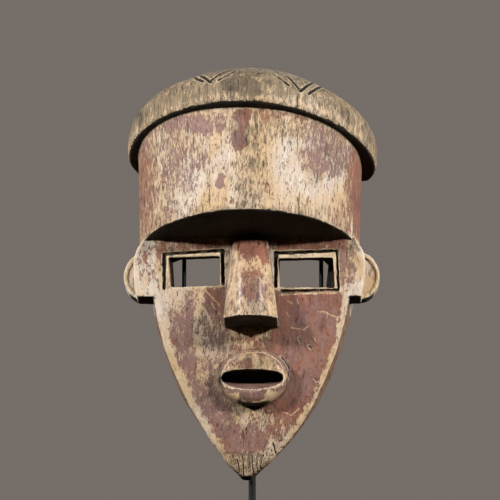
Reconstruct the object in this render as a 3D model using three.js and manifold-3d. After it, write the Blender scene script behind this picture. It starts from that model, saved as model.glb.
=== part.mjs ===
// A lwalwa face mask carved from one piece of wood, held upright by a small steel display stand.
// Units are millimetres. +Z is up and the mask looks along -Y. The origin is the middle of the
// foot plate's underside.
//
// The mask is described in its own frame and then leaned back as a whole. There x runs to the
// viewer's right, "forward" is the distance in front of the flat back rim, and height is measured
// up from a level just under the tip of the chin.
import * as THREE from 'three';
import { mergeVertices } from 'three/addons/utils/BufferGeometryUtils.js';
import Module from 'manifold-3d';

const wasm = await Module();
wasm.setup();

// The stand
const FOOT_SIZE = 140;
const FOOT_THICKNESS = 8;
const FOOT_CORNER_RADIUS = 5;
const FOOT_BEVEL = 1;
const FOOT_CORNER_STEPS = 5;
const POST_DIAMETER = 5.4;
const POST_SIDES = 24;
const POST_SETBACK = 21.5;
const POST_CENTRE = 0.35;
const FORK_ROD_DIAMETER = 3.2;
const FORK_SIDES = 12;
const FORK_STEPS = 60;
const FORK_BAR_HEIGHT = 218;
const FORK_HALF_WIDTH = 52;
const FORK_CENTRE = 0.7;
const FORK_BEND_RADIUS = 9;
const FORK_LEFT_TIP_HEIGHT = 371.6;
const FORK_RIGHT_TIP_HEIGHT = 365.9;
const TOUCH_GAP = 0.3;

// How the mask sits on the stand
const LEAN_DEGREES = 13.5;
const CHIN_HEIGHT = 90;
const MASK_SETBACK = 14;

// The carved block
const WALL = 12;
const BROW_HEIGHT = 174;
const FACE_DEPTH_AT_BROW = 58;
const FACE_DEPTH_AT_CHIN = 16;
const FACE_CROWN = 1.5;
const FACE_CROWN_SHOULDER = 1.1;
const JAW_BEVEL_WIDTH = 6;
const JAW_BEVEL_DEPTH = 2.5;
const CHIN_ROUNDING_HEIGHT = 25;
const CHIN_ROUNDING_DEPTH = 4;
const CHIN_TIP_HEIGHT = 2.5;
const CHIN_LEANS_LEFT = 3.6;
const CHIN_LEAN_HEIGHT = 36;

// Half widths of the face at rising heights: its front edge, its back rim and the hollow behind it
const FRONT_EDGE = [[2.5, 3.5], [12, 16.3], [29, 30.5], [53, 46.2], [80, 58.9], [98, 65.8], [122, 71.8],
  [150, 75.5], [180, 77]];
const BACK_RIM = [[2.5, 3], [8, 8], [26, 24.5], [45, 38.5], [64, 50.8], [83, 59.7], [102, 66.4], [121, 72.6],
  [141, 77], [180, 84]];
const FACE_HOLLOW = [[19, 11], [40, 25], [60, 38], [80, 47], [100, 54], [120, 58.5], [138, 60.7],
  [162, 61], [175, 63], [190, 66]];
const FACE_LEVELS = 18;
const FACE_LEVEL_CROWDING = 1.3;
const OVERLAP = 4;
const HOLLOW_SHIFT = -2.4;
const HOLLOW_SQUARENESS = 0.2;
const HOLLOW_FLATNESS = 0.3;
const HOLLOW_LEAST_DEPTH = 5;
const HOLLOW_STEPS = 20;

// The forehead drum
const DRUM_OFFSET = -1.9;
const DRUM_BROW = { halfWidth: 83.8, depth: 118, fullness: 2 };
const DRUM_TOP = { halfWidth: 86.6, depth: 129, fullness: 2.15 };
const DRUM_STRAIGHT_SIDE = 20;
const DRUM_ARC_STEPS = 40;

// The cap over it. Its rim is a rounded curve in front, fuller on the left, that closes in at the back.
const CAP_OFFSET = -0.5;
const CAP_HALF_WIDTH = 96.6;
const CAP_DEPTH = 138.5;
const CAP_WIDEST_AT = 22.5;
const CAP_BACK_HALF_WIDTH = 91;
const CAP_LEFT_FULLNESS = 1.94;
const CAP_RIGHT_FULLNESS = 1.81;
const CAP_UNDERSIDE_HEIGHT = 249.5;
const CAP_ROLL_DEGREES = 2.2;
const CAP_TILT = 0.03;
const CAP_TILT_FROM = 70;
const CAP_SIDE_TURN = 90;
const CAP_BACK_TURN = 110;
const CAP_FRONT_STEPS = 44;
const CAP_BACK_STEPS = 3;
// Height over the underside, and share of the rim's radius, from the rim to the crown
const CAP_PROFILE = [[0, 0.985], [2.8, 0.997], [13.5, 1], [20, 0.987], [27, 0.949], [34, 0.87], [41, 0.785],
  [48, 0.675], [54.8, 0.54], [61.8, 0.38], [67.2, 0.22], [70.6, 0.08], [71.6, 0.001]];
const CROWN_OFFSET = 6;
// Share of the hollow's radius, and height over the chin
const HEAD_HOLLOW = [[0.93, 185.5], [1, 193.5], [1, 253.5], [0.96, 267.5], [0.86, 279.5], [0.68, 289.5],
  [0.42, 296.5], [0.15, 299.5], [0.01, 300.5]];
const HEAD_HOLLOW_HALF_WIDTH = 74;
const HEAD_HOLLOW_DEPTH = 106;
const HEAD_HOLLOW_STEPS = 28;

// Nose, mouth, eyes and ears
const NOSE_TOP = { height: 179, half: 12.2, ridge: 67, flat: 6, corner: 63.5, centre: -0.4 };
const NOSE_BOTTOM = { height: 104.5, half: 20.2, ridge: 85, flat: 9.2, corner: 74, centre: 0.6 };
const NOSE_ROOT_DEPTH = 6;
const NOSE_RIDGE_CROWN = 1;
const NOSE_UNDERSIDE_RISE = 5;
const NOSE_CORNER_RISE = 1.25;
const NOSE_LEVELS = 6;
const MUZZLE = { centre: 2.2, height: 72.6, halfWidth: 25, halfHeight: 21, reach: 17 };
const MUZZLE_STEPS = 36;
// Share of the muzzle's outline, and how far out of the face, from root to lips
const MUZZLE_PROFILE = [[1, -6], [1, 3], [1, 8.5], [0.98, 12.5], [0.93, 15.3], [0.78, 17]];
const MOUTH = { centre: 1.4, height: 71.2, halfWidth: 23.2, rise: 6.8, drop: 8.4, depth: 24, floorDrop: 7 };
const MOUTH_UPPER_FLATNESS = 0.6;
const MOUTH_CLEARANCE = 1;
const MOUTH_STEPS = 12;
const LEFT_EYE = [[-62.2, 160.3], [-23.4, 161.4], [-23.4, 140], [-62, 139]];
const RIGHT_EYE = [[20.5, 159.2], [61.5, 160.3], [62.7, 138], [21.8, 138.6]];
const LEFT_EYE_CUT_FROM = 8;
const RIGHT_EYE_CUT_FROM = 34;
const EYE_CUT_TO = 75;
// How far an eye opening's top rises through the wall, and how far the left one's outer side comes in
const EYE_TOP_RISE = 2.4;
const LEFT_EYE_NARROWING = 3.5;
const LEFT_EYE_FRAME = [[-65.4, 139], [-65.4, 163.2], [-21.2, 165.6], [-20.6, 143]];
const RIGHT_EYE_FRAME = [[18.6, 139], [18.6, 163.4], [64.6, 165.2], [65.4, 136], [23, 134.6]];
const EYE_FRAME_WIDTH = 1.8;
const EYE_FRAME_CUT = 2;
const EYE_FRAME_CLEARANCE = 4;
const EAR = { root: 70, reach: 97, height: 154, halfHeight: 20.7, bottom: 135, back: 21, front: 32 };
const EAR_SCOOP = { root: 70, reach: 94.2, height: 154, halfHeight: 17.5, bottom: 138.5, back: 29.5,
  front: 33 };
const EAR_ROUNDNESS = 0.66;
const EAR_STEPS = 20;
// The temples, with how far out they reach at falling heights
const LEFT_TEMPLE = [[66, 177], [79.5, 177], [82, 173], [86.5, 166], [88.3, 158], [88.3, 147], [85.5, 132.5],
  [66, 132.5]];
const RIGHT_TEMPLE = [[66, 177], [77.5, 177], [81, 171], [84, 166], [85.5, 160], [85.5, 148], [82.5, 132.5],
  [66, 132.5]];
const TEMPLE_BACK = 28;
const TEMPLE_FRONT_DROP = 1.5;

// The double zigzag cut into the front of the cap, stroke by stroke: each end's degrees from the front
// and height over the cap's underside
const ZIGZAG = [
  [[-42, 47], [-22, 19]],
  [[-26.5, 31], [-18, 17]],
  [[-18.5, 17.5], [0, 54]],
  [[-14.5, 18], [0, 37]],
  [[4, 39], [20, 17]],
  [[6, 56], [24.5, 16.5]],
  [[25, 14.5], [44, 53]],
  [[29, 14.5], [46, 45]],
];
const CUT_WIDTH = 1.9;
const CUT_DEPTH = 1.2;
const CUT_CLEARANCE = 2;
const CUT_STEPS = 10;
const SMALL_STEP = 0.5;

const MERGE_DISTANCE = 0.0001;

const radians = THREE.MathUtils.degToRad;
const lerp = THREE.MathUtils.lerp;

// The value at a height on a list of [height, value] landmarks, joined by straight lines.
function along(landmarks, height) {
  const last = landmarks.length - 1;
  if (height <= landmarks[0][0]) return landmarks[0][1];
  if (height >= landmarks[last][0]) return landmarks[last][1];
  const k = landmarks.findIndex(([h]) => h > height) - 1;
  const [h0, v0] = landmarks[k];
  const [h1, v1] = landmarks[k + 1];
  return lerp(v0, v1, (height - h0) / (h1 - h0));
}

// How far the face's surface stands in front of the back rim.
function faceDepth(height) {
  const chin = Math.max(0, 1 - height / CHIN_ROUNDING_HEIGHT);
  const plain = lerp(FACE_DEPTH_AT_CHIN, FACE_DEPTH_AT_BROW, height / BROW_HEIGHT);
  return plain - CHIN_ROUNDING_DEPTH * chin * chin;
}

// The chin's tip is carved a little to one side.
function chinShift(height) {
  const low = Math.max(0, 1 - height / CHIN_LEAN_HEIGHT);
  return -CHIN_LEANS_LEFT * low;
}

// A point of the mask's frame: x to the right, forward of the back rim, height over the chin.
function at(x, forward, height) {
  return new THREE.Vector3(x, -forward, height);
}

// A closed skin over rings of points, each ring anticlockwise seen from the ring that follows it.
function loft(rings) {
  const count = rings[0].length;
  const positions = rings.flat();
  const faces = [];
  for (let i = 0; i + 1 < rings.length; i += 1) {
    for (let j = 0; j < count; j += 1) {
      const a = i * count + j;
      const b = i * count + (j + 1) % count;
      faces.push(a, b, b + count, a, b + count, a + count);
    }
  }
  const top = (rings.length - 1) * count;
  const middle = (ring) => ring.reduce((sum, p) => sum.add(p), new THREE.Vector3()).divideScalar(count);
  const bottomMiddle = positions.push(middle(rings[0])) - 1;
  const topMiddle = positions.push(middle(rings[rings.length - 1])) - 1;
  for (let j = 0; j < count; j += 1) {
    const next = (j + 1) % count;
    faces.push(bottomMiddle, next, j);
    faces.push(topMiddle, top + j, top + next);
  }
  const geometry = new THREE.BufferGeometry().setFromPoints(positions);
  geometry.setIndex(faces);
  return geometry;
}

// A three.js geometry as a solid for joining and cutting.
function solid(geometry) {
  const plain = geometry.clone();
  plain.deleteAttribute('normal');
  plain.deleteAttribute('uv');
  const merged = mergeVertices(plain, MERGE_DISTANCE);
  return new wasm.Manifold(new wasm.Mesh({
    numProp: 3,
    vertProperties: new Float32Array(merged.attributes.position.array),
    triVerts: new Uint32Array(merged.index.array),
  }));
}

// A joined or cut solid back as a three.js geometry.
function geometryOf(shape) {
  const mesh = shape.getMesh();
  const geometry = new THREE.BufferGeometry();
  geometry.setAttribute('position', new THREE.BufferAttribute(new Float32Array(mesh.vertProperties), 3));
  geometry.setIndex([...mesh.triVerts]);
  geometry.computeVertexNormals();
  return geometry;
}

// A half ring from the left back corner over the front to the right back corner. A fullness over 2
// squares its shoulders a little.
function halfRing(halfWidth, straight, depth, steps, fullness = 2) {
  const points = [];
  if (straight > 0) points.push([-halfWidth, 0]);
  for (let i = 0; i <= steps; i += 1) {
    const turn = Math.PI * (1 - i / steps);
    const across = Math.sign(Math.cos(turn)) * Math.abs(Math.cos(turn)) ** (2 / fullness);
    const ahead = Math.max(Math.sin(turn), 0) ** (2 / fullness);
    points.push([halfWidth * across, straight + (depth - straight) * ahead]);
  }
  if (straight > 0) points.push([halfWidth, 0]);
  return points;
}

// The face: a shield-shaped slab, tapering to the chin, with a narrow bevel round its front edge.
function faceSlab() {
  const rings = [];
  for (let i = 0; i <= FACE_LEVELS; i += 1) {
    const height = lerp(CHIN_TIP_HEIGHT, BROW_HEIGHT + OVERLAP, (i / FACE_LEVELS) ** FACE_LEVEL_CROWDING);
    const depth = faceDepth(height);
    const edge = along(FRONT_EDGE, height);
    const rim = along(BACK_RIM, height);
    const inner = Math.max(edge / 2, edge - JAW_BEVEL_WIDTH);
    const shift = chinShift(height);
    const outline = [[-rim, 0], [-edge, depth - JAW_BEVEL_DEPTH], [-inner, depth],
      [-inner / 2, depth + FACE_CROWN_SHOULDER], [0, depth + FACE_CROWN],
      [inner / 2, depth + FACE_CROWN_SHOULDER], [inner, depth], [edge, depth - JAW_BEVEL_DEPTH], [rim, 0]];
    rings.push(outline.map(([x, forward]) => at(x + shift, forward, height)));
  }
  return solid(loft(rings));
}

// The forehead: an upright drum that overhangs the face and runs up into the cap.
function foreheadDrum() {
  const ring = ({ halfWidth, depth, fullness }, height) => (
    halfRing(halfWidth, DRUM_STRAIGHT_SIDE, depth, DRUM_ARC_STEPS, fullness)
      .map(([x, forward]) => at(x + DRUM_OFFSET, forward, height))
  );
  return solid(loft([ring(DRUM_BROW, BROW_HEIGHT), ring(DRUM_TOP, CAP_UNDERSIDE_HEIGHT + WALL)]));
}

// A point of the cap's rim, by its turn in degrees from the front.
function capRim(turn) {
  const side = Math.sign(turn);
  const past = (Math.abs(turn) - CAP_SIDE_TURN) / (CAP_BACK_TURN - CAP_SIDE_TURN);
  if (past > 0) {
    return [side * lerp(CAP_HALF_WIDTH, CAP_BACK_HALF_WIDTH, past * past), CAP_WIDEST_AT * (1 - past)];
  }
  const power = 2 / (side > 0 ? CAP_RIGHT_FULLNESS : CAP_LEFT_FULLNESS);
  const x = side * CAP_HALF_WIDTH * Math.abs(Math.sin(radians(turn))) ** power;
  const ahead = Math.max(0, Math.cos(radians(turn))) ** power;
  return [x, lerp(CAP_WIDEST_AT, CAP_DEPTH, ahead)];
}

// A point of the cap's skin, by its turn from the front and its height over the underside.
function capPoint(turn, rise) {
  const share = along(CAP_PROFILE, rise);
  const [rimX, rimForward] = capRim(turn);
  const roll = radians(CAP_ROLL_DEGREES);
  const x = CROWN_OFFSET * (1 - share) + rimX * share;
  const forward = rimForward * share;
  const up = rise * Math.cos(roll) - x * Math.sin(roll) + CAP_TILT * (forward - CAP_TILT_FROM);
  return at(x * Math.cos(roll) + rise * Math.sin(roll) + CAP_OFFSET, forward, CAP_UNDERSIDE_HEIGHT + up);
}

// The cap: a low dome with an upright band and an overhanging rim.
function cap() {
  const behind = [];
  for (let i = 1; i <= CAP_BACK_STEPS; i += 1) {
    behind.push(lerp(CAP_SIDE_TURN, CAP_BACK_TURN, i / CAP_BACK_STEPS));
  }
  const ahead = [];
  for (let i = 0; i <= CAP_FRONT_STEPS; i += 1) {
    ahead.push(lerp(-CAP_SIDE_TURN, CAP_SIDE_TURN, i / CAP_FRONT_STEPS));
  }
  const turns = [...behind.map((turn) => -turn).reverse(), ...ahead, ...behind];
  return solid(loft(CAP_PROFILE.map(([rise]) => turns.map((turn) => capPoint(turn, rise)))));
}

// The hollow behind the face, open at the back.
function faceHollow() {
  const rings = FACE_HOLLOW.map(([height, half]) => {
    const depth = Math.max(HOLLOW_LEAST_DEPTH, faceDepth(height) - WALL);
    const shift = chinShift(height) + HOLLOW_SHIFT * Math.min(1, height / BROW_HEIGHT);
    const ring = [at(-half + shift, -WALL, height)];
    for (let i = 0; i <= HOLLOW_STEPS; i += 1) {
      const turn = Math.PI * (1 - i / HOLLOW_STEPS);
      const x = half * Math.sign(Math.cos(turn)) * Math.abs(Math.cos(turn)) ** HOLLOW_SQUARENESS;
      ring.push(at(x + shift, depth * Math.sin(turn) ** HOLLOW_FLATNESS, height));
    }
    ring.push(at(half + shift, -WALL, height));
    return ring;
  });
  return solid(loft(rings));
}

// The wider hollow inside the forehead and the cap.
function headHollow() {
  const rings = HEAD_HOLLOW.map(([share, height]) => {
    const half = HEAD_HOLLOW_HALF_WIDTH * share;
    const outline = halfRing(half, 0, HEAD_HOLLOW_DEPTH * share, HEAD_HOLLOW_STEPS);
    const ring = outline.map(([x, forward]) => at(x + DRUM_OFFSET, forward, height));
    return [at(DRUM_OFFSET - half, -WALL, height), ...ring, at(DRUM_OFFSET + half, -WALL, height)];
  });
  return solid(loft(rings));
}

// The nose: a long wedge with a flat ridge between two bevels and a flat underside.
function nose() {
  const rings = [];
  for (let i = 0; i <= NOSE_LEVELS; i += 1) {
    const t = i / NOSE_LEVELS;
    const mix = (key) => lerp(NOSE_BOTTOM[key], NOSE_TOP[key], t);
    const rise = NOSE_UNDERSIDE_RISE * (1 - t);
    const height = mix('height');
    const cornerRise = NOSE_CORNER_RISE * (1 - t);
    const root = faceDepth(height) - NOSE_ROOT_DEPTH;
    const half = mix('half');
    const bevelTop = mix('ridge') - NOSE_RIDGE_CROWN;
    const outline = [[-half, root, rise], [-half, mix('corner'), cornerRise], [-mix('flat'), bevelTop, 0],
      [0, mix('ridge'), 0], [mix('flat'), bevelTop, 0], [half, mix('corner'), cornerRise], [half, root, rise]];
    rings.push(outline.map(([x, forward, up]) => at(x + mix('centre'), forward, height + up)));
  }
  return solid(loft(rings));
}

// The direction that the face's surface looks in, a little downward.
const FACE_SLOPE = Math.atan2(FACE_DEPTH_AT_BROW - FACE_DEPTH_AT_CHIN, BROW_HEIGHT);

// A point placed on the face: across and up from a centre, and out of the surface.
function onFace(centre, across, up, out) {
  const height = centre.height + up * Math.cos(FACE_SLOPE) - out * Math.sin(FACE_SLOPE);
  const forward = faceDepth(centre.height) + up * Math.sin(FACE_SLOPE) + out * Math.cos(FACE_SLOPE);
  return at(centre.centre + across, forward, height);
}

// The muzzle: an oval boss with rounded lips.
function muzzle() {
  const rings = MUZZLE_PROFILE.map(([share, out]) => {
    const ring = [];
    for (let i = 0; i < MUZZLE_STEPS; i += 1) {
      const turn = 2 * Math.PI * i / MUZZLE_STEPS;
      const across = MUZZLE.halfWidth * share * Math.cos(turn);
      ring.push(onFace(MUZZLE, across, MUZZLE.halfHeight * share * Math.sin(turn), out));
    }
    return ring;
  });
  return solid(loft(rings));
}

// The open mouth: a lens-shaped slot, flatter above, whose floor slopes down to the lower lip.
function mouthSlot() {
  const lens = (out, lower) => {
    const ring = [];
    for (let i = 0; i < 2 * MOUTH_STEPS; i += 1) {
      const turn = Math.PI * i / MOUTH_STEPS;
      const lift = Math.sin(turn);
      const up = lift > 0 ? MOUTH.rise * lift ** MOUTH_UPPER_FLATNESS : lower * lift;
      ring.push(onFace(MOUTH, MOUTH.halfWidth * Math.cos(turn), up, out));
    }
    return ring;
  };
  const front = MUZZLE.reach + MOUTH_CLEARANCE;
  return solid(loft([lens(front - MOUTH.depth, MOUTH.drop - MOUTH.floorDrop), lens(front, MOUTH.drop)]));
}

// A cut through the face wall, with its four corners on the face from the upper left one on. On the way
// in its top rises, and its left side moves in by the narrowing given.
function windowCut(corners, from, narrowing) {
  const front = faceDepth(corners[0][1]);
  const wallBack = front - WALL;
  const ring = (forward) => {
    const share = (front - Math.max(forward, wallBack)) / WALL;
    const [topLeft, topRight, lowRight, lowLeft] = corners;
    const top = EYE_TOP_RISE * share;
    const left = narrowing * share;
    return [[lowLeft[0] + left, lowLeft[1]], lowRight, [topRight[0], topRight[1] + top],
      [topLeft[0] + left, topLeft[1] + top]].map(([x, height]) => at(x, forward, height));
  };
  return solid(loft([ring(from), ring(wallBack), ring(EYE_CUT_TO)]));
}

// The incised line round an eye opening, as one straight cut for each side of the line given.
function eyeFrameCuts(line) {
  return line.slice(1).map(([x1, height1], i) => {
    const [x0, height0] = line[i];
    const run = new THREE.Vector2(x1 - x0, height1 - height0).setLength(EYE_FRAME_WIDTH / 2);
    const corners = [[x0 - run.x + run.y, height0 - run.y - run.x],
      [x1 + run.x + run.y, height1 + run.y - run.x],
      [x1 + run.x - run.y, height1 + run.y + run.x],
      [x0 - run.x - run.y, height0 - run.y + run.x]];
    const ring = (out) => corners.map(([x, height]) => at(x, faceDepth(height) + out, height));
    return solid(loft([ring(-EYE_FRAME_CUT), ring(EYE_FRAME_CLEARANCE)]));
  });
}

// Half an oval plate with a flat bottom that stands out sideways; side is -1 for the viewer's left.
function sidePlate(side, shape) {
  const outline = [];
  for (let i = 0; i <= EAR_STEPS; i += 1) {
    const turn = Math.PI * (i / EAR_STEPS - 1 / 2);
    const out = lerp(shape.root, shape.reach, Math.max(0, Math.cos(turn)) ** EAR_ROUNDNESS);
    outline.push([side * out, Math.max(shape.bottom, shape.height + shape.halfHeight * Math.sin(turn))]);
  }
  return prism(side > 0 ? outline : outline.reverse(), () => shape.back, () => shape.front);
}

// A solid between two depths, over corners that run anticlockwise seen from the front.
function prism(corners, backAt, frontAt) {
  const ring = (depthAt) => corners.map(([x, height]) => at(x, depthAt(height), height));
  return solid(loft([ring(backAt), ring(frontAt)]));
}

// An ear: a thick half disc with a scooped front, and the temple before it.
function ear(side) {
  const disc = sidePlate(side, EAR).subtract(sidePlate(side, EAR_SCOOP));
  const corners = (side > 0 ? RIGHT_TEMPLE : LEFT_TEMPLE).map(([x, height]) => [side * x, height]);
  const turned = side > 0 ? corners.reverse() : corners;
  return disc.add(prism(turned, () => TEMPLE_BACK, (height) => faceDepth(height) - TEMPLE_FRONT_DROP));
}

// One stroke of the zigzag: a narrow wedge sunk into the cap's skin.
function capCut([fromTurn, fromRise], [toTurn, toRise]) {
  const halfWidth = CUT_WIDTH / 2 * (1 + CUT_CLEARANCE / CUT_DEPTH);
  const place = (t) => capPoint(lerp(fromTurn, toTurn, t), lerp(fromRise, toRise, t));
  const rings = [];
  for (let i = 0; i <= CUT_STEPS; i += 1) {
    const t = i / CUT_STEPS;
    const turn = lerp(fromTurn, toTurn, t);
    const rise = lerp(fromRise, toRise, t);
    const across = capPoint(turn + SMALL_STEP, rise).sub(capPoint(turn - SMALL_STEP, rise));
    const upward = capPoint(turn, rise + SMALL_STEP).sub(capPoint(turn, rise - SMALL_STEP));
    const outward = new THREE.Vector3().crossVectors(across, upward).normalize();
    const run = place(t + SMALL_STEP / CUT_STEPS).sub(place(t - SMALL_STEP / CUT_STEPS));
    const side = new THREE.Vector3().crossVectors(run, outward).normalize();
    const corner = (aside, out) => place(t).addScaledVector(side, aside).addScaledVector(outward, out);
    rings.push([corner(halfWidth, CUT_CLEARANCE), corner(0, -CUT_DEPTH), corner(-halfWidth, CUT_CLEARANCE)]);
  }
  return solid(loft(rings));
}

// The whole carved mask, in its own frame.
function carvedMask() {
  let wood = faceSlab();
  for (const part of [foreheadDrum(), cap(), nose(), muzzle(), ear(-1), ear(1)]) wood = wood.add(part);
  const cuts = [faceHollow(), headHollow(), mouthSlot()];
  cuts.push(windowCut(LEFT_EYE, LEFT_EYE_CUT_FROM, LEFT_EYE_NARROWING));
  cuts.push(windowCut(RIGHT_EYE, RIGHT_EYE_CUT_FROM, 0));
  cuts.push(...eyeFrameCuts(LEFT_EYE_FRAME), ...eyeFrameCuts(RIGHT_EYE_FRAME));
  cuts.push(...ZIGZAG.map(([from, to]) => capCut(from, to)));
  for (const cut of cuts) wood = wood.subtract(cut);
  return geometryOf(wood);
}

// The foot: a square steel plate with rounded corners and a fine bevel.
function footPlate() {
  const half = FOOT_SIZE / 2 - FOOT_BEVEL;
  const r = FOOT_CORNER_RADIUS;
  const shape = new THREE.Shape();
  shape.moveTo(-half + r, -half);
  shape.lineTo(half - r, -half);
  shape.absarc(half - r, -half + r, r, -Math.PI / 2, 0);
  shape.absarc(half - r, half - r, r, 0, Math.PI / 2);
  shape.absarc(-half + r, half - r, r, Math.PI / 2, Math.PI);
  shape.absarc(-half + r, -half + r, r, Math.PI, Math.PI * 1.5);
  const geometry = new THREE.ExtrudeGeometry(shape, {
    depth: FOOT_THICKNESS - 2 * FOOT_BEVEL,
    curveSegments: FOOT_CORNER_STEPS,
    bevelThickness: FOOT_BEVEL,
    bevelSize: FOOT_BEVEL,
    bevelSegments: 1,
  });
  return geometry.translate(0, 0, FOOT_BEVEL);
}

// The post: a straight rod from the foot plate up behind the chin.
function post() {
  const bottom = FOOT_THICKNESS + TOUCH_GAP;
  const top = FORK_BAR_HEIGHT - FORK_ROD_DIAMETER / 2 - TOUCH_GAP;
  const rod = new THREE.CylinderGeometry(POST_DIAMETER / 2, POST_DIAMETER / 2, top - bottom, POST_SIDES);
  rod.rotateX(Math.PI / 2);
  return rod.translate(POST_CENTRE, POST_SETBACK, (top + bottom) / 2);
}

// The fork: one thin rod bent into a U, whose two tips stand under the mask's crown.
function fork() {
  const left = FORK_CENTRE - FORK_HALF_WIDTH;
  const right = FORK_CENTRE + FORK_HALF_WIDTH;
  const r = FORK_BEND_RADIUS;
  const place = (x, height) => new THREE.Vector3(x, POST_SETBACK, height);
  const route = new THREE.CurvePath();
  route.add(new THREE.LineCurve3(place(left, FORK_LEFT_TIP_HEIGHT), place(left, FORK_BAR_HEIGHT + r)));
  route.add(new THREE.QuadraticBezierCurve3(place(left, FORK_BAR_HEIGHT + r), place(left, FORK_BAR_HEIGHT),
    place(left + r, FORK_BAR_HEIGHT)));
  route.add(new THREE.LineCurve3(place(left + r, FORK_BAR_HEIGHT), place(right - r, FORK_BAR_HEIGHT)));
  route.add(new THREE.QuadraticBezierCurve3(place(right - r, FORK_BAR_HEIGHT), place(right, FORK_BAR_HEIGHT),
    place(right, FORK_BAR_HEIGHT + r)));
  route.add(new THREE.LineCurve3(place(right, FORK_BAR_HEIGHT + r), place(right, FORK_RIGHT_TIP_HEIGHT)));
  const section = new THREE.Shape();
  section.absarc(0, 0, FORK_ROD_DIAMETER / 2, 0, Math.PI * 2);
  const curveSegments = FORK_SIDES / 2;
  return new THREE.ExtrudeGeometry(section, { steps: FORK_STEPS, curveSegments, extrudePath: route });
}

const wood = new THREE.MeshStandardMaterial({ color: 0xb39a78, roughness: 0.75, metalness: 0 });
const blackSteel = new THREE.MeshStandardMaterial({ color: 0x121212, roughness: 0.45, metalness: 0.6 });

function named(name, geometry, material) {
  const mesh = new THREE.Mesh(geometry, material);
  mesh.name = name;
  return mesh;
}

const leaning = new THREE.Group();
leaning.add(named('mask', carvedMask(), wood));
leaning.rotation.x = -radians(LEAN_DEGREES);
leaning.position.set(0, MASK_SETBACK, CHIN_HEIGHT);

const stand = new THREE.Group();
stand.add(named('stand_foot', footPlate(), blackSteel));
stand.add(named('stand_post', post(), blackSteel));
stand.add(named('stand_fork', fork(), blackSteel));

const part = new THREE.Group();
part.add(leaning, stand);
export default part;
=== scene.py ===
import itertools
import math

import bmesh
import bpy
import numpy as np
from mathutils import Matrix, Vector


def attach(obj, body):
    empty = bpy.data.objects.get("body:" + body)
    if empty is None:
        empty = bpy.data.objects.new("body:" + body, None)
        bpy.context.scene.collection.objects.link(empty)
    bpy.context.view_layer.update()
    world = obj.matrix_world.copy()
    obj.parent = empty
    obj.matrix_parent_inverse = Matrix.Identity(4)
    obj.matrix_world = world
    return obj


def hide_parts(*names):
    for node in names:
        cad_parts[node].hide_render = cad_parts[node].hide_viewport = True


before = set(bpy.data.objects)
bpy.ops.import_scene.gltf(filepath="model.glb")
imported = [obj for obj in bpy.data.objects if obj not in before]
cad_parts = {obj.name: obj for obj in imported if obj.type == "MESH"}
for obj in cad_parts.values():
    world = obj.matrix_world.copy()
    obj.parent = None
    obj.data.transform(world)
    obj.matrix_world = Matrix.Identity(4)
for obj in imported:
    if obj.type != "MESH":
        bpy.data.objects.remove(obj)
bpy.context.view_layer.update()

MM = 0.001

# How the mask leans back on its stand
LEAN = math.radians(13.5)
CHIN_HEIGHT = 90.0
MASK_SETBACK = 14.0

# The carved block, as the solid has it
WALL_THICKNESS = 12.0
BROW_HEIGHT = 174.0
FACE_DEPTH_AT_BROW = 58.0
FACE_DEPTH_AT_CHIN = 16.0
CAP_UNDERSIDE_HEIGHT = 249.5
CAP_HALF_WIDTH = 96.6
CAP_DEPTH = 138.5
CAP_WIDEST_AT = 22.5
CAP_BACK_HALF_WIDTH = 91.0
CAP_SIDE_TURN = 90.0
CAP_BACK_TURN = 110.0
CAP_LEFT_FULLNESS = 1.94
CAP_RIGHT_FULLNESS = 1.81
CAP_ROLL = math.radians(2.2)
CAP_OFFSET = -0.5
CAP_TILT = 0.03
CAP_TILT_FROM = 70.0
CROWN_OFFSET = 6.0
CAP_RISES = (0, 2.8, 13.5, 20, 27, 34, 41, 48, 54.8, 61.8, 67.2, 70.6, 71.6)
CAP_SHARES = (0.985, 0.997, 1, 0.987, 0.949, 0.87, 0.785, 0.675, 0.54, 0.38, 0.22, 0.08, 0.001)
DRUM_OFFSET = -1.9
HEAD_HOLLOW_HALF_WIDTH = 74.0
HEAD_HOLLOW_DEPTH = 106.0
HEAD_HOLLOW_HEIGHTS = (185.5, 301.0)
EDGE_HEIGHTS = (2.5, 12, 29, 53, 80, 98, 122, 150, 180)
EDGE_HALVES = (3.5, 16.3, 30.5, 46.2, 58.9, 65.8, 71.8, 75.5, 77)
FACE_HOLLOW_HEIGHTS = (19, 40, 60, 80, 100, 120, 138, 162, 175, 190)
FACE_HOLLOW_HALVES = (11, 25, 38, 47, 54, 58.5, 60.7, 61, 63, 66)
FACE_HOLLOW_OFFSET = -2.4

# The camera
VIEW_TURN = math.radians(1.5)
VIEW_RISE = math.radians(-6.5)
VIEW_DISTANCE = 1.8
VIEW_CENTRE = Vector((0.0, 0.00073, 0.2489))
LENS = 172.8
SENSOR = 36.0
VIEW_SHIFT = (-0.002, 0.042)
PICTURE_SIZE = 500.0


def smooth_step(low, high, value):
    """0 below low, 1 above high and an even curve between them."""
    share = np.clip((value - low) / (high - low), 0, 1)
    return share * share * (3 - 2 * share)


def soft_noise(points, size, seed):
    """Smooth noise from -1 to 1 over points, with lumps about as wide as size."""
    table = np.random.default_rng(seed).uniform(-1, 1, 4096)
    spots = points / np.asarray(size, dtype=float)
    cells = np.floor(spots).astype(np.int64)
    blend = spots - cells
    blend = blend * blend * (3 - 2 * blend)
    total = np.zeros(len(points))
    for corner in itertools.product((0, 1), repeat=3):
        cell = cells + np.array(corner)
        key = (cell[:, 0] * 73856093) ^ (cell[:, 1] * 19349663) ^ (cell[:, 2] * 83492791)
        weight = np.prod(np.where(corner, blend, 1 - blend), axis=1)
        total += weight * table[key & 4095]
    return total


def leant(x, y, z):
    """Steps along x, y and z as steps along the mask's own x, forward and height."""
    sine, cosine = math.sin(LEAN), math.cos(LEAN)
    return np.column_stack((x, z * sine - y * cosine, y * sine + z * cosine))


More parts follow.
